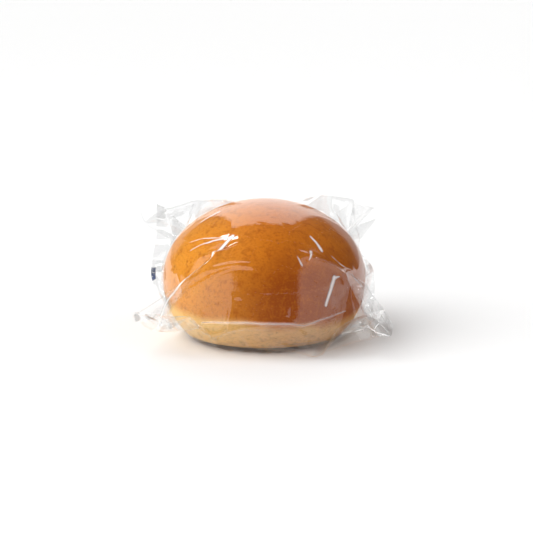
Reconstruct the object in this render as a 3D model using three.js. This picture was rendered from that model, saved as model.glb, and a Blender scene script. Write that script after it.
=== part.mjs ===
// A round bread roll in a clear flow-wrap pouch.
// Millimetres, +Z up, +X along the pouch from end seal to end seal, +Y towards the back.
// The origin is the middle of the footprint, on the surface that the pouch rests on.
//
// The roll is one baked solid. The pouch is one sheet of film: it is folded into a tube round
// the roll, its two long edges meet in a fin seal folded flat under the roll, and its two ends
// are pressed flat into end seals whose corners stand out as ears.
import * as THREE from "three";

// Roll: a dome over a fuller underside, cut off by a flat base.
const ROLL_RADIUS = 50;
const DOME_HEIGHT = 38.5; // widest level to crown
const BASE_DEPTH = 28; // widest level down to the flat base
const UNDERSIDE_REACH = 38.9; // where the underside's curve would end if the base didn't cut it
const UNDERSIDE_FULLNESS = 2.2; // exponent of that curve; 2 would be an ellipse
const FOOT_RADIUS = 29; // flat part of the base, inside its rounded edge
const FOOT_EDGE_WIDTH = 4.8; // from the flat part out to the middle of the rounded edge
const FOOT_EDGE_LIFT = 1.2; // height of that middle over the base
const ROLL_SIDES = 48;
const DOME_STEPS = 12;
const UNDERSIDE_STEPS = 7;

// Film: five times as thick as real film, which is about 0.03.
const FILM = 0.15;
const LAYER_GAP = 0.3; // between the middles of two film layers that lie face to face
const ROLL_CLEARANCE = 0.9; // from the roll's surface to the middle of the film
const BASE_LEVEL = 3 * LAYER_GAP + FILM; // height of the roll's base over the surface below

// End seals, which lean: low at the front, high at the back.
const EAR_X = 66; // cut edge at the corners
const SEAL_MID_X = 57.5; // cut edge at the middle, drawn in by the roll
const SEAL_WIDTH = 6;
const EAR_Y = 64;
const SEAL_MID_HEIGHT = 33;
const EAR_RISE = 18; // each corner is this far above or below the middle
const SEAL_HALF_SPACING = LAYER_GAP / 2;
// Height of the slack tube over and under the line of the seals, before the roll pushes it out.
const TUBE_ABOVE = 28;
const TUBE_BELOW = 48;
const TUBE_HALF_WIDTH = 52; // at the roll
const TUBE_FULLNESS = 2.5; // how slowly the tube thins towards its ends
const LEAN_FULLNESS = 3; // how late it takes on the lean and the width of the seals
// The part of the tube that lies flat below the roll, as shares of its length and half width,
// and the least and greatest slope with which the film leaves it.
const FLAT_LENGTH = 0.64;
const FLAT_WIDTH = 0.66;
const LEAST_SLOPE = 0.15;
const GREATEST_SLOPE = 3;

// Fin seal under the roll: two edges of the sheet, laid flat towards the back.
const FIN_WIDTH = 10;
const FIN_STEPS = 3;
const FIN_TURN_STEPS = 4;
const FIN_ROOM = 3; // strip beyond the fin in which the wall over it comes down again
const FIN_FALL = 6; // strip in which the seals' upper wall comes down beside the fin

// Sheet grid: stations along the tube, and points round it.
const TUBE_STATIONS = 32;
const SEAL_STATIONS = 2;
const ROUND_POINTS = 56;

const rollCentre = new THREE.Vector3(0, 0, BASE_LEVEL + BASE_DEPTH);

// How far a vector from the roll's centre has to be stretched to reach the surface that lies
// `away` outside the roll's own.
function stretchToRoll(vector, away) {
  const above = vector.z >= 0;
  const power = above ? 2 : UNDERSIDE_FULLNESS;
  const height = (above ? DOME_HEIGHT : UNDERSIDE_REACH) + away;
  const radius = Math.hypot(vector.x, vector.y) / (ROLL_RADIUS + away);
  return (radius ** power + (Math.abs(vector.z) / height) ** power) ** (-1 / power);
}

function makeRoll() {
  const profile = [
    new THREE.Vector2(0, -BASE_DEPTH),
    new THREE.Vector2(FOOT_RADIUS, -BASE_DEPTH),
    new THREE.Vector2(FOOT_RADIUS + FOOT_EDGE_WIDTH, FOOT_EDGE_LIFT - BASE_DEPTH),
  ];
  for (let i = 1; i < UNDERSIDE_STEPS; i++) {
    const depth = BASE_DEPTH * (1 - i / UNDERSIDE_STEPS);
    const share = 1 - (depth / UNDERSIDE_REACH) ** UNDERSIDE_FULLNESS;
    profile.push(new THREE.Vector2(ROLL_RADIUS * share ** (1 / UNDERSIDE_FULLNESS), -depth));
  }
  for (let i = 0; i < DOME_STEPS; i++) {
    const angle = (Math.PI / 2) * (i / DOME_STEPS);
    profile.push(
      new THREE.Vector2(ROLL_RADIUS * Math.cos(angle), DOME_HEIGHT * Math.sin(angle)),
    );
  }
  profile.push(new THREE.Vector2(0, DOME_HEIGHT));
  const geometry = new THREE.LatheGeometry(profile, ROLL_SIDES).rotateX(Math.PI / 2);
  const crust = new THREE.MeshStandardMaterial({ color: 0xc8751a, roughness: 0.45, metalness: 0 });
  const roll = new THREE.Mesh(geometry, crust);
  roll.name = "bread_roll";
  roll.position.copy(rollCentre);
  return roll;
}

// The sheet's course round the tube, from one fin edge to the other. `turn` goes from 0 under
// the roll by way of the front (a quarter), the top and the back to 1 under the roll again.
// `across` moves a point sideways from the seam, and `lift` is its height over the outermost
// layer, towards the roll.
function filmCourse() {
  const course = [];
  for (let i = 0; i < FIN_STEPS; i++) {
    course.push({ turn: 0, across: FIN_WIDTH * (1 - i / FIN_STEPS), lift: 0 });
  }
  const lastTurn = 1 - Math.asin((FIN_WIDTH + FIN_ROOM) / TUBE_HALF_WIDTH) / (2 * Math.PI);
  for (let i = 0; i <= ROUND_POINTS; i++) {
    course.push({ turn: (lastTurn * i) / ROUND_POINTS, across: 0, lift: 0 });
  }
  course.push({ turn: 0, across: FIN_WIDTH + FIN_ROOM / 3, lift: 2 * LAYER_GAP });
  course.push({ turn: 0, across: FIN_WIDTH / 2, lift: 2 * LAYER_GAP });
  // The turn at the root of the fin is a half circle between its two upper layers.
  const turnRadius = LAYER_GAP / 2;
  for (let i = 0; i <= FIN_TURN_STEPS; i++) {
    const angle = Math.PI * (i / FIN_TURN_STEPS);
    course.push({
      turn: 0,
      across: 2 * LAYER_GAP - turnRadius * Math.sin(angle),
      lift: 2 * LAYER_GAP + turnRadius * (Math.cos(angle) - 1),
    });
  }
  course.push({ turn: 0, across: FIN_WIDTH / 2, lift: LAYER_GAP });
  course.push({ turn: 0, across: FIN_WIDTH, lift: LAYER_GAP });
  return course;
}

// A point of the film's middle surface. `along` runs from -1 to 1 between the end seals' inner
// lines, and on to -2 and 2 at the cut edges.
function filmPoint(along, { turn, across, lift }) {
  const angle = 2 * Math.PI * turn;
  const isUpper = Math.cos(angle) < 0;
  const share = Math.min(Math.abs(along), 1);
  const late = share ** LEAN_FULLNESS;
  const halfWidth = TUBE_HALF_WIDTH + (EAR_Y - TUBE_HALF_WIDTH) * late;
  const y = turn === 0 ? across : -halfWidth * Math.sin(angle);
  const bow = (y / EAR_Y) ** 2;
  const innerX = SEAL_MID_X + (EAR_X - SEAL_MID_X) * bow - SEAL_WIDTH;
  const inSeal = Math.max(Math.abs(along) - 1, 0);
  const x = Math.sign(along) * (share * innerX + inSeal * SEAL_WIDTH);
  const height = isUpper ? TUBE_ABOVE : TUBE_BELOW;
  const swell = 1 - share ** TUBE_FULLNESS;
  const halfHeight = SEAL_HALF_SPACING + (height - SEAL_HALF_SPACING) * swell;
  const middle = SEAL_MID_HEIGHT + EAR_RISE * (y / EAR_Y) * late;
  const point = new THREE.Vector3(x, y, middle - halfHeight * Math.cos(angle));
  const outward = point.clone().sub(rollCentre);
  const stretch = stretchToRoll(outward, ROLL_CLEARANCE);
  if (inSeal === 0 && point.z > BASE_LEVEL && stretch > 1) {
    point.copy(rollCentre).addScaledVector(outward, stretch);
  }
  if (isUpper) {
    point.z += riseOverFin(y) * (1 - swell);
    return point;
  }
  const flatHalfWidth = FLAT_WIDTH * halfWidth;
  const beyondFlat = Math.max((share - FLAT_LENGTH) * innerX, Math.abs(y) - flatHalfWidth, 0);
  const rise = THREE.MathUtils.clamp(
    point.z - FILM / 2,
    LEAST_SLOPE * beyondFlat,
    GREATEST_SLOPE * beyondFlat,
  );
  point.z = FILM / 2 + rise + lift;
  return point;
}

// At the end seals the upper wall stands a little higher over the fin, whose two layers lie
// between the walls there.
function riseOverFin(y) {
  const outside = Math.max(-y, y - FIN_WIDTH - FIN_ROOM, 0);
  return 2 * LAYER_GAP * Math.max(1 - outside / FIN_FALL, 0);
}

// Stations along the tube, closer together towards the end seals.
function filmStations() {
  const stations = [];
  for (let i = 0; i <= TUBE_STATIONS; i++) {
    stations.push(Math.sin((Math.PI / 2) * ((2 * i) / TUBE_STATIONS - 1)));
  }
  for (let i = 1; i <= SEAL_STATIONS; i++) {
    stations.unshift(-1 - i / SEAL_STATIONS);
    stations.push(1 + i / SEAL_STATIONS);
  }
  return stations;
}

// Gives a grid of points a thickness, half of it on each side, and closes it round its rim.
function thickSheet(grid, thickness) {
  const rows = grid.length;
  const columns = grid[0].length;
  const pointAt = (i, j) =>
    grid[THREE.MathUtils.clamp(i, 0, rows - 1)][THREE.MathUtils.clamp(j, 0, columns - 1)];
  const positions = [];
  for (const side of [1, -1]) {
    for (let i = 0; i < rows; i++) {
      for (let j = 0; j < columns; j++) {
        const alongRow = pointAt(i + 1, j).clone().sub(pointAt(i - 1, j));
        const alongColumn = pointAt(i, j + 1).clone().sub(pointAt(i, j - 1));
        const normal = alongColumn.cross(alongRow).normalize();
        const moved = grid[i][j].clone().addScaledVector(normal, (side * thickness) / 2);
        positions.push(moved.x, moved.y, moved.z);
      }
    }
  }
  const vertex = (side, i, j) => (side * rows + i) * columns + j;
  const faces = [];
  const quad = (a, b, c, d) => faces.push(a, b, c, a, c, d);
  for (let i = 0; i < rows - 1; i++) {
    for (let j = 0; j < columns - 1; j++) {
      quad(vertex(0, i, j), vertex(0, i, j + 1), vertex(0, i + 1, j + 1), vertex(0, i + 1, j));
      quad(vertex(1, i, j), vertex(1, i + 1, j), vertex(1, i + 1, j + 1), vertex(1, i, j + 1));
    }
  }
  const rim = [];
  for (let j = 0; j < columns - 1; j++) rim.push([0, j]);
  for (let i = 0; i < rows - 1; i++) rim.push([i, columns - 1]);
  for (let j = columns - 1; j > 0; j--) rim.push([rows - 1, j]);
  for (let i = rows - 1; i > 0; i--) rim.push([i, 0]);
  rim.forEach(([i, j], n) => {
    const [k, l] = rim[(n + 1) % rim.length];
    quad(vertex(0, k, l), vertex(0, i, j), vertex(1, i, j), vertex(1, k, l));
  });
  const geometry = new THREE.BufferGeometry();
  geometry.setAttribute("position", new THREE.Float32BufferAttribute(positions, 3));
  geometry.setIndex(faces);
  geometry.computeVertexNormals();
  return geometry;
}

function makeWrapper() {
  const course = filmCourse();
  const grid = filmStations().map((along) => course.map((place) => filmPoint(along, place)));
  const clearFilm = new THREE.MeshStandardMaterial({
    color: 0xf4f6f8,
    roughness: 0.08,
    metalness: 0,
    transparent: true,
    opacity: 0.25,
    side: THREE.DoubleSide,
  });
  const wrapper = new THREE.Mesh(thickSheet(grid, FILM), clearFilm);
  wrapper.name = "film_wrapper";
  return wrapper;
}

const wrappedRoll = new THREE.Group();
wrappedRoll.add(makeRoll(), makeWrapper());
export default wrappedRoll;
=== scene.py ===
import math

import bpy
import numpy as np
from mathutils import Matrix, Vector


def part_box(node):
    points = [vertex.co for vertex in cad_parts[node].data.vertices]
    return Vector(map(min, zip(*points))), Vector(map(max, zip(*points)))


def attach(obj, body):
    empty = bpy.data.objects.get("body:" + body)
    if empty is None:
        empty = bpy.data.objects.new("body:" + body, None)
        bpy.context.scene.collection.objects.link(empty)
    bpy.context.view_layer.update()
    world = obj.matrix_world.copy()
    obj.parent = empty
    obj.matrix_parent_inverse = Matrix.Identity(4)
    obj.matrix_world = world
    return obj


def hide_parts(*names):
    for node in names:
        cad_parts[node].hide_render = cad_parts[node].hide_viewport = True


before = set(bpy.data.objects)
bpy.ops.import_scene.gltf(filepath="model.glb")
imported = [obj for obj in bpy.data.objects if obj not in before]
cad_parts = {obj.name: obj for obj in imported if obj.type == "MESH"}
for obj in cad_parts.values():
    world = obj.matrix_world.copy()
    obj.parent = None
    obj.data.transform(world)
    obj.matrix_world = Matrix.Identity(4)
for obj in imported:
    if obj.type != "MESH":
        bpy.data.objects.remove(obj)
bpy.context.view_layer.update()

scene = bpy.context.scene


# Camera: a long lens in front of the pouch, looking a little down on it from far enough away
# for the pouch to keep its proportions.
CAMERA_HEIGHT_ANGLE = math.radians(12.5)
CAMERA_DISTANCE = 0.985
AIM = Vector((0.0011, 0.0, 0.0342))

lens = bpy.data.cameras.new("camera")
lens.lens = 135
lens.sensor_width = 36
lens.clip_start = 0.05
camera = bpy.data.objects.new("camera", lens)
scene.collection.objects.link(camera)
away = Vector((0, -math.cos(CAMERA_HEIGHT_ANGLE), math.sin(CAMERA_HEIGHT_ANGLE)))
camera.location = AIM + CAMERA_DISTANCE * away
camera.rotation_euler = away.to_track_quat("Z", "Y").to_euler()
scene.camera = camera


# Roll: one ball of enriched dough, brushed with egg and baked on a flat tray, so its base is
# flat, its foot is pale and its top is glazed. It is a turned form with shallow dents.
ROLL_LOW, ROLL_HIGH = (np.round(corner, 6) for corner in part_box("bread_roll"))
ROLL_RADIUS = (ROLL_HIGH[0] - ROLL_LOW[0]) / 2
BASE_DEPTH = 0.028
DOME_HEIGHT = ROLL_HIGH[2] - ROLL_LOW[2] - BASE_DEPTH
UNDERSIDE_REACH = 0.0389
UNDERSIDE_FULLNESS = 2.2
UNDERSIDE_START = 0.0262
FOOT_RADIUS = 0.029
FOOT_EDGE_LIFT = 0.0012
ROLL_CENTRE = np.array([0.0, 0.0, ROLL_LOW[2] + BASE_DEPTH])
DENT_DEPTH = 0.0004
DENTS_WHOLE_AT = 0.006
ROLL_SIDES = 224
BASE_RINGS = 12
EDGE_RINGS = 6
UNDERSIDE_RINGS = 34
DOME_RINGS = 60


def stretch_to_roll(offsets, gap):
    """How far each offset from the roll's centre has to be stretched to reach its surface."""
    above = offsets[:, 2] >= 0
    power = np.where(above, 2.0, UNDERSIDE_FULLNESS)
    height = np.where(above, DOME_HEIGHT, UNDERSIDE_REACH) + gap
    radius = np.hypot(offsets[:, 0], offsets[:, 1]) / (ROLL_RADIUS + gap)
    return (radius**power + (np.abs(offsets[:, 2]) / height) ** power) ** (-1 / power)


def dents(directions):
    """Share by which the baked dough falls short of the turned form, from 0 to 1."""
    x, y, z = directions.T
    waves = (
        np.sin(2.3 * x + 1.1 * y + 0.7)
        + np.sin(-1.7 * x + 2.9 * y + 1.9 * z + 2.1)
        + 0.5 * np.sin(4.1 * x - 3.3 * y + 2.7 * z + 0.4)
        + 0.3 * np.sin(7.3 * x + 6.1 * y - 5.2 * z + 4.0)
    )
    return (2.8 - waves) / 5.6


def roll_profile():
    """Radius and height over the base, from the middle of the base to the crown."""
    points = [(FOOT_RADIUS * share, 0.0) for share in np.linspace(0, 0.96, BASE_RINGS)]
    for angle in np.linspace(0.2, 1.2, EDGE_RINGS):
        reach = FOOT_RADIUS + 4 * FOOT_EDGE_LIFT * math.sin(angle)
        points.append((reach, FOOT_EDGE_LIFT * (1 - math.cos(angle))))
    for depth in np.linspace(UNDERSIDE_START, 0.0, UNDERSIDE_RINGS, endpoint=False):
        share = 1 - (depth / UNDERSIDE_REACH) ** UNDERSIDE_FULLNESS
        points.append((ROLL_RADIUS * share ** (1 / UNDERSIDE_FULLNESS), BASE_DEPTH - depth))
    for angle in np.linspace(0, math.pi / 2, DOME_RINGS, endpoint=False):
        height = BASE_DEPTH + DOME_HEIGHT * math.sin(angle)
        points.append((ROLL_RADIUS * math.cos(angle), height))
    return np.array(points)


def make_roll():
    """The profile turned about the upright axis, closed at both poles and lightly dented."""
    rings = roll_profile()
    around = np.arange(ROLL_SIDES) * 2 * math.pi / ROLL_SIDES
    grid = np.empty((len(rings), ROLL_SIDES, 3))
    grid[:, :, 0] = rings[:, :1] * np.cos(around)
    grid[:, :, 1] = rings[:, :1] * np.sin(around)
    grid[:, :, 2] = rings[:, 1:] + ROLL_LOW[2]
    points = np.vstack([grid.reshape(-1, 3), [[0, 0, ROLL_LOW[2]], [0, 0, ROLL_HIGH[2]]]])
    offsets = points - ROLL_CENTRE
    lengths = np.linalg.norm(offsets, axis=1, keepdims=True)
    inward = offsets / lengths * dents(offsets / lengths)[:, None] * DENT_DEPTH
    over_base = np.clip((points[:, 2:] - ROLL_LOW[2]) / DENTS_WHOLE_AT, 0, 1)
    points -= inward * over_base
    faces = []
    for ring in range(len(rings) - 1):
        for side in range(ROLL_SIDES):
            following = (side + 1) % ROLL_SIDES
            low = ring * ROLL_SIDES
            high = low + ROLL_SIDES
            faces.append((low + side, low + following, high + following, high + side))
    bottom = len(points) - 2
    last = (len(rings) - 1) * ROLL_SIDES
    for side in range(ROLL_SIDES):
        following = (side + 1) % ROLL_SIDES
        faces.append((bottom, following, side))
        faces.append((bottom + 1, last + side, last + following))
    mesh = bpy.data.meshes.new("roll")
    mesh.from_pydata(points.tolist(), [], faces)
    mesh.polygons.foreach_set("use_smooth", [True] * len(mesh.polygons))
    roll = bpy.data.objects.new("roll", mesh)
    scene.collection.objects.link(roll)
    return roll


class Nodes:
    """Adds nodes to one tree. Each value given is a constant or another node's output."""

    def __init__(self, tree):
        self.tree = tree

    def add(self, kind, inputs=None, **settings):
        node = self.tree.nodes.new("ShaderNode" + kind)
        for key, value in settings.items():
            setattr(node, key, value)
        for key, value in (inputs or {}).items():
            self.put(value, node.inputs[key])
        return node

    def put(self, value, socket):
        if isinstance(value, bpy.types.NodeSocket):
            self.tree.links.new(value, socket)
        else:
            socket.default_value = value

    def maths(self, operation, *values, clamp=False):
        node = self.add("Math", dict(enumerate(values)), operation=operation, use_clamp=clamp)
        return node.outputs[0]

    def vector(self, operation, *values, output="Vector"):
        return self.add("VectorMath", dict(enumerate(values)), operation=operation).outputs[output]

    def scaled(self, value, scale):
        return self.add("VectorMath", {0: value, "Scale": scale}, operation="SCALE").outputs[0]

    def noise(self, place, scale, detail, roughness=0.55, output="Fac"):
        settings = {"Vector": place, "Scale": scale, "Detail": detail, "Roughness": roughness}
        return self.add("TexNoise", settings).outputs[output]

    def remap(self, value, low, high, to_low=0.0, to_high=1.0):
        ends = {"Value": value, "From Min": low, "From Max": high}
        ends.update({"To Min": to_low, "To Max": to_high})
        return self.add("MapRange", ends, interpolation_type="SMOOTHSTEP").outputs[0]

    def blend(self, share, first, second):
        node = self.add("Mix", data_type="RGBA")
        self.put(share, node.inputs["Factor"])
        for value, name in ((first, "A"), (second, "B")):
            socket = [s for s in node.inputs if s.name == name and s.type == "RGBA"][0]
            self.put(value, socket)
        return [s for s in node.outputs if s.type == "RGBA"][0]

    def bump(self, height, distance, strength=1.0, normal=None):
        inputs = {"Height": height, "Distance": distance, "Strength": strength}
        if normal is not None:
            inputs["Normal"] = normal
        return self.add("Bump", inputs).outputs[0]


class Finish(Nodes):
    """A new material with one Principled surface."""

    def __init__(self, name):
        self.material = bpy.data.materials.new(name)
        self.material.use_nodes = True
        super().__init__(self.material.node_tree)
        self.tree.nodes.clear()
        self.surface = self.add("BsdfPrincipled")
        self.add("OutputMaterial", {"Surface": self.surface.outputs[0]})

    def finish(self, **inputs):
        for name, value in inputs.items():
            self.put(value, self.surface.inputs[name.replace("_", " ")])
        return self.material


class Group(Nodes):
    """A new group of nodes. It is given places, as vectors, and numbers, and puts out numbers."""

    def __init__(self, name, places, numbers, results):
        super().__init__(bpy.data.node_groups.new(name, "ShaderNodeTree"))
        for names, in_out, kind in (
            (places, "INPUT", "NodeSocketVector"),
            (numbers, "INPUT", "NodeSocketFloat"),
            (results, "OUTPUT", "NodeSocketFloat"),
        ):
            for socket in names:
                self.tree.interface.new_socket(name=socket, in_out=in_out, socket_type=kind)
        self.given = self.tree.nodes.new("NodeGroupInput").outputs
        self.results = self.tree.nodes.new("NodeGroupOutput").inputs

    def place_in(self, nodes, values):
        return nodes.add("Group", values, node_tree=self.tree).outputs


def make_grain():
    """Natural grain of one size: its height, and masks of its dark and its light specks."""
    numbers = ["Scale", "Detail", "Roughness", "Dark From", "Dark To", "Light From", "Light To"]
    n = Group("grain", ["Place"], numbers, ["Height", "Dark", "Light"])
    given = n.given
    height = n.noise(given["Place"], given["Scale"], given["Detail"], given["Roughness"])
    n.put(height, n.results["Height"])
    n.put(n.remap(height, given["Dark From"], given["Dark To"]), n.results["Dark"])
    n.put(n.remap(height, given["Light From"], given["Light To"]), n.results["Light"])
    return n


GRAIN = make_grain()


def grain(nodes, place, scale, detail, roughness, dark=(0.5, 0.7), light=(0.5, 0.3)):
    values = {"Place": place, "Scale": scale, "Detail": detail, "Roughness": roughness}
    values.update({"Dark From": dark[0], "Dark To": dark[1]})
    values.update({"Light From": light[0], "Light To": light[1]})
    return GRAIN.place_in(nodes, values)


def crust_material():
    """Egg-washed crust: amber over the dome, darker lower down as painted shade, yellower at the
    left as painted light, and blond and wrinkled at the foot, where it rose last."""
    n = Finish("crust")
    place = n.add("TexCoord").outputs["Object"]
    axes = n.add("SeparateXYZ", {"Vector": place}).outputs
    wander = n.maths("SUBTRACT", n.noise(place, 38, 3), 0.5)
    height = n.maths("MULTIPLY_ADD", wander, 0.010, axes["Z"])
    broad = n.noise(place, 24, 4, 0.6)
    mottle = grain(n, place, 260, 6, 0.65, dark=(0.50, 0.68), light=(0.48, 0.34))
    speckle = grain(n, place, 1100, 3, 0.6, dark=(0.50, 0.70), light=(0.50, 0.32))
    amber = (0.60, 0.175, 0.006, 1)
    deep_brown_and_shade = (0.33, 0.066, 0.001, 1)
    lit_golden = (0.84, 0.36, 0.040, 1)
    blond = (0.70, 0.39, 0.15, 1)
    lit_blond = (0.88, 0.55, 0.17, 1)
    base_brown_and_shade = (0.24, 0.10, 0.04, 1)
    pore_brown = (0.13, 0.028, 0.003, 1)
    # Browning and painted shade: each patch of the broad noise is browner, and lower on the dome is
    # darker, as painted shade from the light above.
    low = n.remap(height, 0.056, 0.030)
    browning_and_shade = n.maths("MULTIPLY_ADD", n.remap(broad, 0.30, 0.70), 0.55, n.maths("MULTIPLY", low, 0.6))
    browning_and_painted_light = n.blend(n.maths("MINIMUM", browning_and_shade, 1.0), amber, deep_brown_and_shade)
    # Painted light: the left side, where the key light falls, is painted a lighter gold, on the
    # dome and at the foot.
    lit_left_side = n.remap(axes["X"], 0.010, -0.044)
    browning_and_painted_light = n.blend(n.maths("MULTIPLY", lit_left_side, 0.78), browning_and_painted_light, lit_golden)
    # Grain: dark and light specks of two sizes.
    browning_and_painted_light = n.blend(n.maths("MULTIPLY", mottle["Dark"], 0.50), browning_and_painted_light, deep_brown_and_shade)
    browning_and_painted_light = n.blend(n.maths("MULTIPLY", mottle["Light"], 0.34), browning_and_painted_light, amber)
    browning_and_painted_light = n.blend(n.maths("MULTIPLY", speckle["Dark"], 0.55), browning_and_painted_light, deep_brown_and_shade)
    browning_and_painted_light = n.blend(n.maths("MULTIPLY", speckle["Light"], 0.35), browning_and_painted_light, amber)
    # Foot: pale where the dough rose last, painted lighter and reaching higher at the left as
    # painted light, with brown lines in its wrinkles and a brown edge, which is partly the baked
    # rim and partly painted shade.
    pale_foot_lit_left = n.blend(lit_left_side, blond, lit_blond)
    blond_height = n.maths("MULTIPLY_ADD", lit_left_side, -0.004, height)
    colour = n.blend(n.remap(blond_height, 0.0115, 0.0185), pale_foot_lit_left, browning_and_painted_light)
    at_foot = n.remap(height, 0.0185, 0.009)
    stretched = n.add("Mapping", {"Vector": place, "Scale": (1, 1, 3.2)}).outputs[0]
    folds = n.noise(stretched, 150, 5, 0.62)
    smudges = n.maths("MULTIPLY", n.maths("MULTIPLY", mottle["Dark"], at_foot), 0.40)
    colour = n.blend(smudges, colour, base_brown_and_shade)
    from_fold = n.maths("ABSOLUTE", n.maths("SUBTRACT", folds, 0.5))
    in_folds = n.maths("MULTIPLY", n.remap(from_fold, 0.022, 0.0), at_foot)
    colour = n.blend(n.maths("MULTIPLY", in_folds, 0.40), colour, base_brown_and_shade)
    # Brown base edge: partly the rim baked on the tray, partly painted shade where the roll meets
    # the table.
    edge_height = n.maths("MULTIPLY_ADD", mottle["Height"], 0.003, axes["Z"])
    base_rim_and_shade = n.remap(edge_height, 0.0054, 0.0030)
    colour = n.blend(n.maths("MULTIPLY", base_rim_and_shade, 0.9), colour, base_brown_and_shade)
    # Pores: small dark pits scattered over the dome.
    cells = n.add("TexVoronoi", {"Vector": place, "Scale": 330.0, "Randomness": 1.0})
    pits = n.remap(cells.outputs["Distance"], 0.15, 0.06)
    pits = n.maths("MULTIPLY", pits, n.remap(n.noise(place, 120, 2), 0.52, 0.60))
    colour = n.blend(n.maths("MULTIPLY", pits, 0.6), colour, pore_brown)
    # Skin: leathery grain on the dome, shallow wrinkles round the foot.
    normal = n.bump(speckle["Height"], 0.00016, 0.7)
    normal = n.bump(mottle["Height"], 0.0003, 0.5, normal)
    normal = n.bump(n.maths("MULTIPLY", folds, at_foot), 0.0020, 0.9, normal)
    normal = n.bump(n.maths("MULTIPLY", pits, -1.0), 0.0003, 0.6, normal)
    roughness = n.remap(height, 0.011, 0.022, 0.65, 0.42)
    n.surface.inputs["Subsurface Weight"].default_value = 0.08
    n.surface.inputs["Subsurface Radius"].default_value = (0.6, 0.18, 0.03)
    n.surface.inputs["Subsurface Scale"].default_value = 0.002
    n.surface.inputs["Specular IOR Level"].default_value = 0.12
    return n.finish(Base_Color=colour, Roughness=roughness, Normal=normal)


roll = make_roll()
roll.data.materials.append(crust_material())
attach(roll, "root")
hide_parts("bread_roll")


# Film: one sheet, 0.03 mm thick, folded into a tube whose edges meet in a fin seal under the
# roll, and pressed flat at both ends. It can't stretch, so it creases where the roll fills it.
CUT_LENGTH = 0.148
TUBE_ROUND = 0.284
SEAL_WIDTH = 0.006
FIN_WIDTH = 0.010
SEAL_LEAN = math.atan(18 / 64)
SEAL_HEIGHT = 0.032
FILM_GAP = 0.00025
WALL_LEVEL = 0.00032
LAYER_STEP = 0.0001
# Where the corners of the pouch come to rest, by end (-1 left, 1 right) and side (-1 front,
# 1 back), and where the middles of its two seals do.
CORNERS = {
    (-1, -1): (-0.0585, -0.062, 0.0205),
    (1, -1): (0.0590, -0.060, 0.0129),
    (-1, 1): (-0.0685, 0.062, 0.0505),
    (1, 1): (0.0644, 0.062, 0.0525),
}
SEAL_MIDDLES = {-1: (-0.056, 0.0, 0.031), 1: (0.055, 0.0, 0.032)}
# The front fold: how far it stands from the roll's axis, its level and the band round that
# level that it holds, and how it leans and tapers off.
FOLD_FIRST_REACH = 0.048
FOLD_REACH = 0.0526
FOLD_LEVEL = 0.0165
FOLD_BELOW = 0.0115
FOLD_ABOVE = 0.019
FOLD_SLOPE_BELOW = 0.9
FOLD_SLOPE_ABOVE = 0.165
FOLD_HALF_LENGTH = 0.032
FOLD_END_SLOPE = 0.4
FOOT_EDGE_LEVEL = 0.0015
EMPTY_POUCH_HALF_DEPTH = 0.0008
# The sheet's flat coordinates are in decimetres.
SHEET_SCALE = 10
seal_plane_point = np.array([0.0, 0.0, SEAL_HEIGHT])
seal_plane_normal = np.array([0.0, -math.sin(SEAL_LEAN), math.cos(SEAL_LEAN)])


def flat_pouch(rows, columns):
    """The empty pouch: two flat walls, seam in the middle of the lower one."""
    along = np.linspace(-CUT_LENGTH / 2, CUT_LENGTH / 2, rows + 1)
    turn = np.arange(columns) / columns
    across = np.where(turn < 0.25, -turn, np.where(turn < 0.75, turn - 0.5, 1 - turn))
    is_upper = (turn > 0.25) & (turn < 0.75)
    across = across * TUBE_ROUND
    side = np.where(is_upper, 1, -1) * np.sqrt(1 - np.abs(across) / (TUBE_ROUND / 4))
    lean = np.array([0, math.cos(SEAL_LEAN), math.sin(SEAL_LEAN)])
    grid = seal_plane_point + along[:, None, None] * np.array([1.0, 0, 0])
    grid = grid + across[None, :, None] * lean
    return grid + EMPTY_POUCH_HALF_DEPTH * side[None, :, None] * seal_plane_normal


def twice_as_fine(grid):
    """The same sheet with a point between each two, on a smooth curve through four."""
    rows, columns, _ = grid.shape
    wide = np.empty((rows, 2 * columns, 3))
    wide[:, 0::2] = grid
    inner = grid + np.roll(grid, -1, 1)
    outer = np.roll(grid, 1, 1) + np.roll(grid, -2, 1)
    wide[:, 1::2] = (9 * inner - outer) / 16
    fine = np.empty((2 * rows - 1, 2 * columns, 3))
    fine[0::2] = wide
    middles = (wide[:-1] + wide[1:]) / 2
    middles[1:-1] = (9 * (wide[1:-2] + wide[2:-1]) - wide[:-3] - wide[3:]) / 16
    fine[1::2] = middles
    return fine


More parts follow.
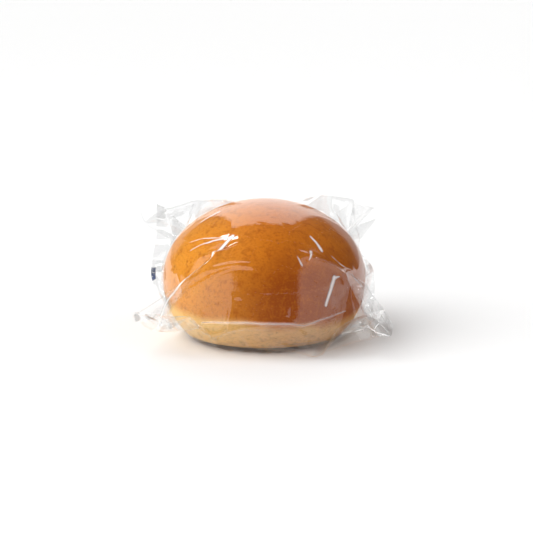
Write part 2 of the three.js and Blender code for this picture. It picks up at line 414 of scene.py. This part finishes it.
class Sheet:
    """The tube as a grid of points, rows along it and columns round it, and its links."""

    def __init__(self, grid):
        self.rows = len(grid) - 1
        self.columns = grid.shape[1]
        self.row_step = CUT_LENGTH / self.rows
        self.column_step = TUBE_ROUND / self.columns
        self.points = grid.reshape(-1, 3).copy()
        self.before = self.points.copy()
        self.index = np.arange(len(self.points)).reshape(self.rows + 1, self.columns)
        diagonal = math.hypot(self.row_step, self.column_step)
        self.links = []
        self.stays = []
        for parity in (0, 1):
            near = self.index[parity : self.rows : 2]
            far = self.index[parity + 1 :: 2]
            beside = np.roll(self.index, -1, 1)
            self.link(near, far, self.row_step)
            self.link(self.index[:, parity::2], beside[:, parity::2], self.column_step)
            self.link(near, np.roll(far, -1, 1), diagonal)
            self.link(near, np.roll(far, 1, 1), diagonal)
            # Stays join every second point, and hold the film straight.
            starts = [i for i in range(self.rows - 1) if (i // 2) % 2 == parity]
            near = self.index[starts]
            far = self.index[[i + 2 for i in starts]]
            columns = [j for j in range(self.columns) if (j // 2) % 2 == parity]
            beside = np.roll(self.index, -2, 1)
            self.stay(near, far, 2 * self.row_step)
            self.stay(self.index[:, columns], beside[:, columns], 2 * self.column_step)
            self.stay(near, np.roll(far, -2, 1), 2 * diagonal)
            self.stay(near, np.roll(far, 2, 1), 2 * diagonal)
        # Whole rows in a seal, with a margin for rounding.
        self.seal_rows = int(SEAL_WIDTH / self.row_step + 0.01)
        far_seal = self.rows - self.seal_rows
        rows = [*range(self.seal_rows + 1), *range(far_seal, self.rows + 1)]
        lower = [j for j in range(self.columns) if self.is_lower(j)]
        upper = [self.facing(j) for j in lower]
        self.sealed_lower = self.index[rows][:, lower].ravel()
        self.sealed_upper = self.index[rows][:, upper].ravel()

    def is_lower(self, column):
        return not self.columns // 4 <= column <= 3 * self.columns // 4

    def facing(self, column):
        """The column of the other wall that lies over this one."""
        return (self.columns // 2 - column) % self.columns

    def link(self, near, far, length):
        self.links.append((near.ravel(), far.ravel(), length))

    def stay(self, near, far, length):
        self.stays.append((near.ravel(), far.ravel(), length))

    def end_row(self, end):
        return 0 if end < 0 else self.rows

    def corner(self, end, side):
        quarter = 1 if side < 0 else 3
        return self.index[self.end_row(end), quarter * self.columns // 4]

    def grid(self):
        return self.points.reshape(self.rows + 1, self.columns, 3)

    def outward(self):
        grid = self.grid()
        round_it = np.roll(grid, -1, 1) - np.roll(grid, 1, 1)
        normals = np.cross(round_it, np.gradient(grid, axis=0))
        normals /= np.linalg.norm(normals, axis=2, keepdims=True) + 1e-12
        return normals.reshape(-1, 3)


def hold_lengths(points, links):
    """Moves both ends of each link until it has its length."""
    for near, far, length in links:
        start = points[near]
        end = points[far]
        step = end - start
        measured = np.sqrt(np.einsum("ij,ij->i", step, step)) + 1e-12
        step *= (0.5 * (1 - length / measured))[:, None]
        points[near] = start + step
        points[far] = end - step


def hold_straight(points, stays, stiffness, give):
    """Pushes every second point apart. A stay that is bent beyond its give yields, as a
    crease does."""
    for near, far, length in stays:
        start = points[near]
        end = points[far]
        step = end - start
        measured = np.sqrt(np.einsum("ij,ij->i", step, step)) + 1e-12
        short = np.minimum(measured / length - 1, 0)
        push = 0.5 * stiffness * short / (1 + (short / give) ** 2)
        step *= (push * length / measured)[:, None]
        points[near] = start + step
        points[far] = end - step


def keep_clear(points, fullness, fold_reach):
    """Moves points out of the roll and the floor. While the pouch is filled the roll is
    flattened towards the plane of the seals, to its fullness."""
    offsets = points - seal_plane_point
    heights = offsets @ seal_plane_normal
    true = points + np.outer(heights * (1 / fullness - 1), seal_plane_normal)
    offsets = true - ROLL_CENTRE
    stretch = stretch_to_roll(offsets, FILM_GAP)
    under = offsets[:, 2] < FOOT_EDGE_LEVEL - BASE_DEPTH
    flat = under & (np.hypot(offsets[:, 0], offsets[:, 1]) < FOOT_RADIUS)
    inside = (stretch > 1) & (offsets[:, 2] > -BASE_DEPTH - FILM_GAP) & ~flat
    offsets[inside] *= stretch[inside, None]
    offsets[flat, 2] = np.minimum(offsets[flat, 2], -BASE_DEPTH - FILM_GAP)
    true = ROLL_CENTRE + offsets
    # In front, the fold along the side of the flat tube stands a little off the roll.
    over_fold = true[:, 2] - FOLD_LEVEL
    slope = np.where(over_fold > 0, FOLD_SLOPE_ABOVE, -FOLD_SLOPE_BELOW)
    reach = fold_reach - slope * over_fold
    reach -= FOLD_END_SLOPE * np.maximum(np.abs(true[:, 0]) - FOLD_HALF_LENGTH, 0)
    radius = np.hypot(true[:, 0], true[:, 1])
    beside_roll = (over_fold > -FOLD_BELOW) & (over_fold < FOLD_ABOVE)
    behind_fold = (true[:, 1] < 0) & beside_roll & (radius < reach)
    true[behind_fold, :2] *= (reach / radius)[behind_fold, None]
    true[:, 2] = np.maximum(true[:, 2], WALL_LEVEL)
    heights = (true - seal_plane_point) @ seal_plane_normal
    return true + np.outer(heights * (fullness - 1), seal_plane_normal)


def settle(
    sheet, steps, rounds, fold, puff, stiffness, give,
    fullness=(1.0, 1.0), pull=0.05, tremble=0.0, dice=None,
):
    """Lets the sheet find its shape. In each step it is puffed out a little, and in each round
    of a step its lengths are restored, its corners are pulled to their places and its seals are
    closed. fold, the reach of the front fold, and fullness are pairs, at the first step and the
    last. tremble shakes the sheet, so that its folds aren't too even."""
    most = 0.25 * min(sheet.row_step, sheet.column_step)
    for step in range(steps):
        share = (step + 1) / steps
        full = fullness[0] + (fullness[1] - fullness[0]) * share
        reach = fold[0] + (fold[1] - fold[0]) * share
        speed = np.clip(0.9 * (sheet.points - sheet.before), -most, most)
        sheet.before = sheet.points.copy()
        sheet.points += speed + puff * sheet.outward()
        if tremble:
            sheet.points += tremble * dice.standard_normal(sheet.points.shape)
        for _ in range(rounds):
            hold_lengths(sheet.points, sheet.links)
            hold_straight(sheet.points, sheet.stays, stiffness, give)
            for (end, side), place in CORNERS.items():
                corner = sheet.corner(end, side)
                sheet.points[corner] += pull * (np.array(place) - sheet.points[corner])
            for end, place in SEAL_MIDDLES.items():
                middles = sheet.index[sheet.end_row(end), [0, sheet.columns // 2]]
                sheet.points[middles] += pull * (np.array(place) - sheet.points[middles])
            both = (sheet.points[sheet.sealed_lower] + sheet.points[sheet.sealed_upper]) / 2
            sheet.points[sheet.sealed_lower] = both
            sheet.points[sheet.sealed_upper] = both
            # To the nearest 0.1 micrometres: the last digits of the sums don't steer its folds.
            sheet.points = np.round(keep_clear(sheet.points, full, reach), 7)


def filled_pouch():
    """Fills the flat pouch with the roll on a coarse grid, then settles it on finer ones."""
    dice = np.random.default_rng(7)
    no_fold = (0, 0)
    growing_fold = (FOLD_FIRST_REACH, FOLD_REACH)
    whole_fold = (FOLD_REACH, FOLD_REACH)
    soft = {"stiffness": 0.2, "give": 0.08}
    crisp = {"stiffness": 0.6, "give": 0.02, "dice": dice}
    sheet = Sheet(flat_pouch(20, 36))
    settle(sheet, 110, 12, no_fold, puff=0.00005, fullness=(0.03, 1.0), pull=0.0, **soft)
    settle(sheet, 60, 20, no_fold, puff=0.00003, **soft)
    sheet = Sheet(twice_as_fine(sheet.grid()))
    settle(sheet, 60, 20, growing_fold, puff=0.00003, tremble=0.00002, **crisp)
    sheet = Sheet(twice_as_fine(sheet.grid()))
    settle(sheet, 50, 16, whole_fold, puff=0.00002, tremble=0.00001, **crisp)
    sheet = Sheet(twice_as_fine(sheet.grid()))
    settle(sheet, 24, 14, whole_fold, puff=0.000015, tremble=0.000004, **crisp)
    return sheet


def make_film():
    """The settled pouch as a mesh, with its seals closed and its fin folded under the roll."""
    sheet = filled_pouch()
    grid = sheet.grid()
    outward = sheet.outward().reshape(grid.shape)
    # The welded walls lie face to face: each moves half a step off their common middle.
    grid = grid.copy()
    far_seal = sheet.rows - sheet.seal_rows
    for rows in (slice(0, sheet.seal_rows + 1), slice(far_seal, sheet.rows + 1)):
        for j in range(sheet.columns):
            if sheet.is_lower(j):
                pair = sheet.facing(j)
                apart = outward[rows, j] - outward[rows, pair]
                apart /= np.linalg.norm(apart, axis=1, keepdims=True) + 1e-9
                grid[rows, j] += apart * LAYER_STEP / 2
                grid[rows, pair] -= apart * LAYER_STEP / 2
    # Fin: the two edges run on from the seam, side by side, flat against the wall behind it.
    wide = int(round(FIN_WIDTH / sheet.column_step))
    behind = [(-k) % sheet.columns for k in range(1, wide + 1)]
    inner = grid[:, behind] + LAYER_STEP * outward[:, behind]
    outer = grid[:, behind] + 2 * LAYER_STEP * outward[:, behind]
    seam = grid[:, :1]
    course = np.concatenate([outer[:, ::-1], seam, grid[:, 1:], seam, inner], axis=1)
    rows, columns, _ = course.shape
    turns = (np.arange(columns) - wide) * sheet.column_step
    faces = []
    for i in range(rows - 1):
        for j in range(columns - 1):
            corner = i * columns + j
            faces.append((corner, corner + 1, corner + columns + 1, corner + columns))
    mesh = bpy.data.meshes.new("film")
    mesh.from_pydata(course.reshape(-1, 3).tolist(), [], faces)
    mesh.polygons.foreach_set("use_smooth", [True] * len(mesh.polygons))
    # The flat coordinates carry the sheet's seals, creases and register mark.
    flat = np.empty((rows, columns, 2))
    flat[:, :, 0] = (np.arange(rows) * sheet.row_step)[:, None] * SHEET_SCALE
    flat[:, :, 1] = turns[None, :] * SHEET_SCALE
    flat = flat.reshape(-1, 2)
    layer = mesh.uv_layers.new(name="flat_sheet")
    corners = np.empty(len(mesh.loops), dtype=np.int32)
    mesh.loops.foreach_get("vertex_index", corners)
    layer.data.foreach_set("uv", flat[corners].ravel())
    film = bpy.data.objects.new("film", mesh)
    scene.collection.objects.link(film)
    return film


# Sharp creases painted white, partly the whitening of creased film and partly painted highlights
# where
# # the folds would glint. Each runs from one place on the flat sheet to another, in decimetres,
# with its
# # half width at both ends and how white it is.
WHITE_CREASES_AND_GLINTS = [
    # The long one from the front left corner, and the fan it ends in.
    ((0.10, 0.680), (0.26, 0.90), 0.0060, 0.0090, 0.85),
    ((0.26, 0.900), (0.40, 1.045), 0.0090, 0.0110, 0.85),
    ((0.40, 1.045), (0.58, 1.22), 0.0110, 0.0160, 0.85),
    ((0.36, 1.245), (0.58, 1.215), 0.0030, 0.0120, 0.75),
    ((0.36, 1.300), (0.56, 1.215), 0.0030, 0.0080, 0.55),
    ((0.416, 1.43), (0.505, 1.47), 0.0080, 0.0200, 0.70),
    ((0.29, 1.400), (0.416, 1.43), 0.0020, 0.0045, 0.40),
    # Short ones high on the right.
    ((0.944, 1.245), (1.005, 1.185), 0.0080, 0.0160, 0.80),
    ((0.953, 1.150), (0.948, 1.09), 0.0150, 0.0040, 0.70),
    ((0.885, 1.100), (0.91, 1.06), 0.0050, 0.0110, 0.55),
    ((1.09, 1.015), (1.125, 1.030), 0.0180, 0.0060, 0.70),
    ((1.09, 1.020), (1.054, 0.885), 0.0200, 0.0140, 0.75),
    ((1.01, 1.190), (1.12, 1.180), 0.0020, 0.0045, 0.45),
    ((1.12, 1.180), (1.26, 1.200), 0.0045, 0.0060, 0.60),
    ((1.26, 1.200), (1.38, 1.270), 0.0060, 0.0030, 0.50),
    # The front fold.
    ((0.36, 0.660), (0.43, 0.745), 0.0060, 0.0140, 0.25),
    ((0.43, 0.745), (0.95, 0.778), 0.0140, 0.0200, 0.28),
    ((0.95, 0.778), (1.18, 0.868), 0.0200, 0.0080, 0.28),
    # The crumpled front ears.
    ((1.47, 0.71), (1.20, 0.60), 0.0050, 0.0020, 0.65),
    ((1.47, 0.71), (1.22, 0.80), 0.0050, 0.0020, 0.65),
    ((1.46, 0.74), (1.25, 0.95), 0.0050, 0.0020, 0.60),
    ((1.45, 0.80), (1.36, 1.05), 0.0050, 0.0020, 0.60),
    ((1.30, 0.60), (1.42, 0.80), 0.0030, 0.0050, 0.55),
    ((1.25, 0.72), (1.33, 0.90), 0.0020, 0.0050, 0.55),
    ((0.02, 0.70), (0.25, 0.60), 0.0040, 0.0020, 0.40),
    ((0.02, 0.72), (0.20, 0.86), 0.0040, 0.0020, 0.35),
]


def make_crease_glint():
    """One straight crease on the flat sheet, painted white as whitening and highlight: full along
    its middle, nothing beyond its width.
    """
    numbers = ["Start Width", "End Width", "Strength"]
    n = Group("crease_glint", ["Sheet", "Start", "End"], numbers, ["Crease"])
    given = n.given
    course = n.vector("SUBTRACT", given["End"], given["Start"])
    offset = n.vector("SUBTRACT", given["Sheet"], given["Start"])
    along = n.vector("DOT_PRODUCT", offset, course, output="Value")
    whole = n.vector("DOT_PRODUCT", course, course, output="Value")
    share = n.maths("DIVIDE", along, whole, clamp=True)
    gap = n.vector("DISTANCE", offset, n.scaled(course, share), output="Value")
    widths = {0: share, 2: given["Start Width"], 3: given["End Width"]}
    width = n.add("Mix", widths).outputs[0]
    n.put(n.remap(gap, width, 0.0, 0.0, given["Strength"]), n.results["Crease"])
    return n


def film_material():
    """Clear glossy film. It mirrors little face on and much at a glance, and its sharp creases are
    painted white, partly as whitened film and partly as painted highlights. Its seals are pressed
    with fine ribs, and one carries a plain register mark."""
    n = Finish("clear_film")
    ink_blue = (0.03, 0.055, 0.16, 1)
    grey_middle = (0.5, 0.5, 0.5)
    flat = n.add("UVMap", uv_map="flat_sheet").outputs[0]
    axes = n.add("SeparateXYZ", {"Vector": flat}).outputs
    facing = n.add("LayerWeight", {"Blend": 0.5}).outputs["Facing"]
    glance = n.maths("POWER", facing, 3.0)
    mirror = n.maths("MULTIPLY_ADD", glance, 0.48, 0.078)
    # Register mark, in the middle of the upper wall at the left end seal.
    mark_place = 0.011
    mark_middle = TUBE_ROUND * SHEET_SCALE / 2
    off_length = n.maths("ABSOLUTE", n.maths("SUBTRACT", axes["X"], mark_place))
    off_width = n.maths("ABSOLUTE", n.maths("SUBTRACT", axes["Y"], mark_middle))
    in_length = n.remap(off_length, 0.012, 0.0105)
    in_width = n.remap(off_width, 0.046, 0.044)
    ink = n.maths("MULTIPLY", in_length, in_width)
    colour = n.blend(ink, (1, 1, 1, 1), ink_blue)
    # Ribs pressed across the seals.
    rib_spacing = 0.011
    end = n.maths("MINIMUM", axes["X"], n.maths("SUBTRACT", CUT_LENGTH * SHEET_SCALE, axes["X"]))
    in_seal = n.remap(end, 0.064, 0.058)
    ribs = n.maths("SINE", n.maths("MULTIPLY", axes["Y"], 2 * math.pi / rib_spacing))
    ribs = n.maths("MULTIPLY", ribs, in_seal)
    normal = n.bump(ribs, 0.00004, 0.35)
    # Small flat facets with sharp creases between them, steeper towards the seals.
    facets = n.add("TexVoronoi", {"Vector": flat, "Scale": 7.0}, voronoi_dimensions="2D")
    from_middle = n.vector("SUBTRACT", flat, facets.outputs["Position"])
    tilt = n.vector("SUBTRACT", facets.outputs["Color"], grey_middle)
    slope = n.vector("DOT_PRODUCT", from_middle, tilt, output="Value")
    steepness = n.remap(end, 0.45, 0.05, 0.004, 0.016)
    normal = n.bump(n.maths("MULTIPLY", slope, steepness), 1.0, 1.0, normal)
    # The slight crinkle of handled film.
    crinkle = n.noise(flat, 14, 3, 0.5)
    normal = n.bump(crinkle, 0.0006, 0.15, normal)
    # Over the roll the film takes on the grain of the crust.
    over_roll = n.remap(end, 0.25, 0.45)
    pressed_grain = n.maths("MULTIPLY", grain(n, flat, 60, 3, 0.6)["Height"], over_roll)
    normal = n.bump(pressed_grain, 0.00020, 0.14, normal)
    # Creases wander a little from the straight.
    wander = n.vector("SUBTRACT", n.noise(flat, 9, 3, 0.6, "Color"), grey_middle)
    wandering = n.vector("ADD", flat, n.scaled(wander, 0.02))
    one_crease_glint = make_crease_glint()
    crease_white_and_glints = 0.0
    for start, stop, start_width, stop_width, strength in WHITE_CREASES_AND_GLINTS:
        values = {"Sheet": wandering, "Start": (*start, 0), "End": (*stop, 0)}
        values.update({"Start Width": start_width, "End Width": stop_width, "Strength": strength})
        crease_glint = one_crease_glint.place_in(n, values)["Crease"]
        crease_white_and_glints = n.maths("MAXIMUM", crease_white_and_glints, crease_glint)
    n.surface.inputs["Specular IOR Level"].default_value = 0.5
    # Clear film is a partial mirror. Its ink and its creases are plain coloured surfaces; the white
    # of the creases is partly a painted highlight.
    clear = n.maths("SUBTRACT", 1.0, n.maths("MAXIMUM", ink, n.remap(crease_white_and_glints, 0.0, 0.25)))
    cover = n.maths("MAXIMUM", mirror, crease_white_and_glints)
    cover = n.maths("MAXIMUM", cover, n.maths("MULTIPLY", ink, 0.92))
    return n.finish(
        Base_Color=colour, Metallic=clear, Alpha=cover, Roughness=0.035, Normal=normal
    )


film = make_film()
film.data.materials.append(film_material())
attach(film, "root")
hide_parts("film_wrapper")


# Studio: a white table top under broad soft light, in a room whose ceiling and near end are dark,
# so that the film's flat parts stay clear. White screens stand behind and at both sides.
floor_mesh = bpy.data.meshes.new("table_top")
floor_reach = 12.0
floor_corners = [(-1, -1, 0), (1, -1, 0), (1, 1, 0), (-1, 1, 0)]
floor_corners = [[floor_reach * x for x in corner] for corner in floor_corners]
floor_mesh.from_pydata(floor_corners, [], [(0, 1, 2, 3)])
floor = bpy.data.objects.new("table_top", floor_mesh)
scene.collection.objects.link(floor)
white = Finish("white_table")
table_grain = grain(white, white.add("TexCoord").outputs["Object"], 60, 2, 0.55)["Height"]
tint = white.blend(table_grain, (0.85, 0.85, 0.85, 1), (0.86, 0.86, 0.86, 1))
white.surface.inputs["Specular IOR Level"].default_value = 0.0
floor_mesh.materials.append(white.finish(Base_Color=tint, Roughness=1.0))

world = bpy.data.worlds.new("studio")
world.use_nodes = True
scene.world = world
sky = Nodes(world.node_tree)
background = world.node_tree.nodes["Background"]
background.inputs["Color"].default_value = (1, 0.995, 0.985, 1)


def product(*values):
    result = values[0]
    for value in values[1:]:
        result = sky.maths("MULTIPLY", result, value)
    return result


direction = sky.add("TexCoord").outputs["Generated"]
x, y, z = sky.add("SeparateXYZ", {"Vector": direction}).outputs[:3]
sideways = sky.maths("ABSOLUTE", x)
rear_screen = product(sky.remap(y, 0.42, 0.45), sky.remap(sideways, 0.33, 0.29), 1.45)
rear_wall = product(sky.remap(y, 0.70, 0.85), sky.remap(z, 0.45, 0.30), 0.45)
left_screen = product(sky.remap(x, -0.46, -0.58), sky.remap(y, 0.16, 0.04), 1.0)
right_screen = product(sky.remap(x, 0.56, 0.66), sky.remap(y, 0.10, 0.0), 0.8)
brightness = 0.05
for screen in (rear_screen, rear_wall, left_screen, right_screen):
    brightness = sky.maths("MAXIMUM", brightness, screen)
sky.put(brightness, background.inputs["Strength"])


def overhead(name, place, width_angle, strength):
    """A broad light far away, which the film doesn't mirror."""
    light = bpy.data.lights.new(name, "SUN")
    light.energy = strength
    light.angle = math.radians(width_angle)
    lamp = bpy.data.objects.new(name, light)
    scene.collection.objects.link(lamp)
    lamp.rotation_euler = Vector(place).to_track_quat("Z", "Y").to_euler()
    lamp.visible_glossy = False


def glint(name, place, width, height, power):
    """A small lamp close by, which the folds of the film mirror as glints."""
    light = bpy.data.lights.new(name, "AREA")
    light.shape = "RECTANGLE"
    light.size = width
    light.size_y = height
    light.energy = power
    lamp = bpy.data.objects.new(name, light)
    scene.collection.objects.link(lamp)
    lamp.location = place
    lamp.rotation_euler = Vector(place).to_track_quat("Z", "Y").to_euler()


overhead("key_light", (-0.80, -0.30, 0.72), 65, 2.62)
overhead("room_light", (0, 0, 1), 130, 0.80)
glint("right_glint", (0.60, -0.12, 0.75), 0.05, 0.10, 0.36)
glint("left_glint", (-0.42, 0.15, 0.90), 0.05, 0.20, 0.65)

scene.view_settings.view_transform = "Standard"
